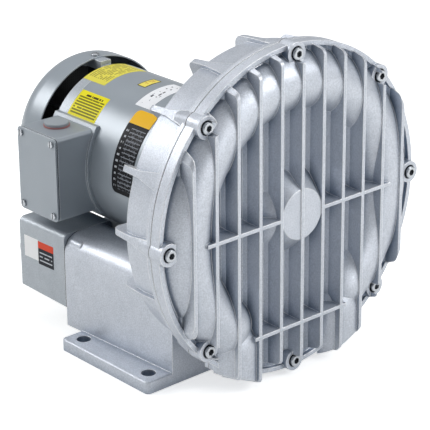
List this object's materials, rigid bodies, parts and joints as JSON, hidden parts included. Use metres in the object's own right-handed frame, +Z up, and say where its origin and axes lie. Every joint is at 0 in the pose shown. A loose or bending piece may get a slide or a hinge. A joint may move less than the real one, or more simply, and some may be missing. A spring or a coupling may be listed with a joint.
{
  "type": "side channel blower",
  "caption": "Side channel blower with a finned round channel cover, drum housing on silencer feet with rear pipe ports, and a fan-cooled motor with junction box.",
  "frame": {"origin": "on the floor plane at the centre of the four foot holes", "axes": "+Z up, the shaft along Y with the channel cover towards -Y and the motor towards +Y, junction box on the -X side"},
  "size_m": [0.3586, 0.379, 0.3633],
  "materials": {
    "silver_casting": "silver paint over fine-grained casting",
    "grey_paint": "smooth grey enamel",
    "zinc_steel": "zinc plated",
    "bare_aluminium": "as cast",
    "machined_steel": "turned",
    "bearing_steel": "ground",
    "lamination_steel": "stacked sheet",
    "copper_winding": "varnished wire",
    "brass_cage": "pressed",
    "black_rubber": "matte",
    "red_rubber": "matte",
    "gasket_sheet": "matte",
    "silencer_foam": "open cell foam",
    "fan_plastic": "moulded",
    "grey_plastic": "moulded",
    "plate_foil": "printed foil"
  },
  "bodies": {
    "frame": {"front_cover": "silver_casting", "rear_housing": "silver_casting", "end_cap": "grey_paint", "cover_gasket": "gasket_sheet", "end_cap_gasket": "gasket_sheet", "junction_box_gasket": "gasket_sheet", "cover_screws": "zinc_steel", "cover_lock_washers": "zinc_steel", "end_cap_screws": "zinc_steel", "inlet_foam": "silencer_foam", "outlet_foam": "silencer_foam", "shaft_seal": "black_rubber", "drive_bearing_outer_race": "bearing_steel", "tail_bearing_outer_race": "bearing_steel", "stator_core": "lamination_steel", "stator_windings": "copper_winding", "motor_shell": "grey_paint", "drive_endbell": "grey_paint", "fan_endbell": "grey_paint", "through_bolts": "zinc_steel", "motor_face_bolts": "zinc_steel", "fan_cover": "grey_paint", "fan_cover_screws": "zinc_steel", "junction_box": "grey_paint", "junction_box_cover": "grey_paint", "junction_box_screws": "zinc_steel", "conduit_plug": "grey_plastic", "plug_seal": "red_rubber", "data_plate": "plate_foil"},
    "rotor": {"rotor_shaft": "machined_steel", "rotor_core": "lamination_steel", "impeller": "bare_aluminium", "impeller_key": "machined_steel", "impeller_bolt": "zinc_steel", "impeller_washer": "zinc_steel", "cooling_fan": "fan_plastic", "drive_bearing_inner_race": "bearing_steel", "tail_bearing_inner_race": "bearing_steel"},
    "drive_ball_set": {"drive_bearing_balls": "bearing_steel", "drive_bearing_cage": "brass_cage"},
    "tail_ball_set": {"tail_bearing_balls": "bearing_steel", "tail_bearing_cage": "brass_cage"}
  },
  "joints": [
    {"name": "rotor_spin", "type": "hinge", "parent": "frame", "child": "rotor", "pos_m": [0, 0, 0.184], "axis": [0, 1, 0], "continuous": true},
    {"name": "drive_cage_orbit", "type": "hinge", "parent": "frame", "child": "drive_ball_set", "pos_m": [0, 0, 0.184], "axis": [0, 1, 0], "continuous": true},
    {"name": "tail_cage_orbit", "type": "hinge", "parent": "frame", "child": "tail_ball_set", "pos_m": [0, 0, 0.184], "axis": [0, 1, 0], "continuous": true}
  ],
  "couplings": [
    {"joint": "drive_cage_orbit", "follows": "rotor_spin", "ratio": 0.3966},
    {"joint": "tail_cage_orbit", "follows": "rotor_spin", "ratio": 0.3811}
  ]
}
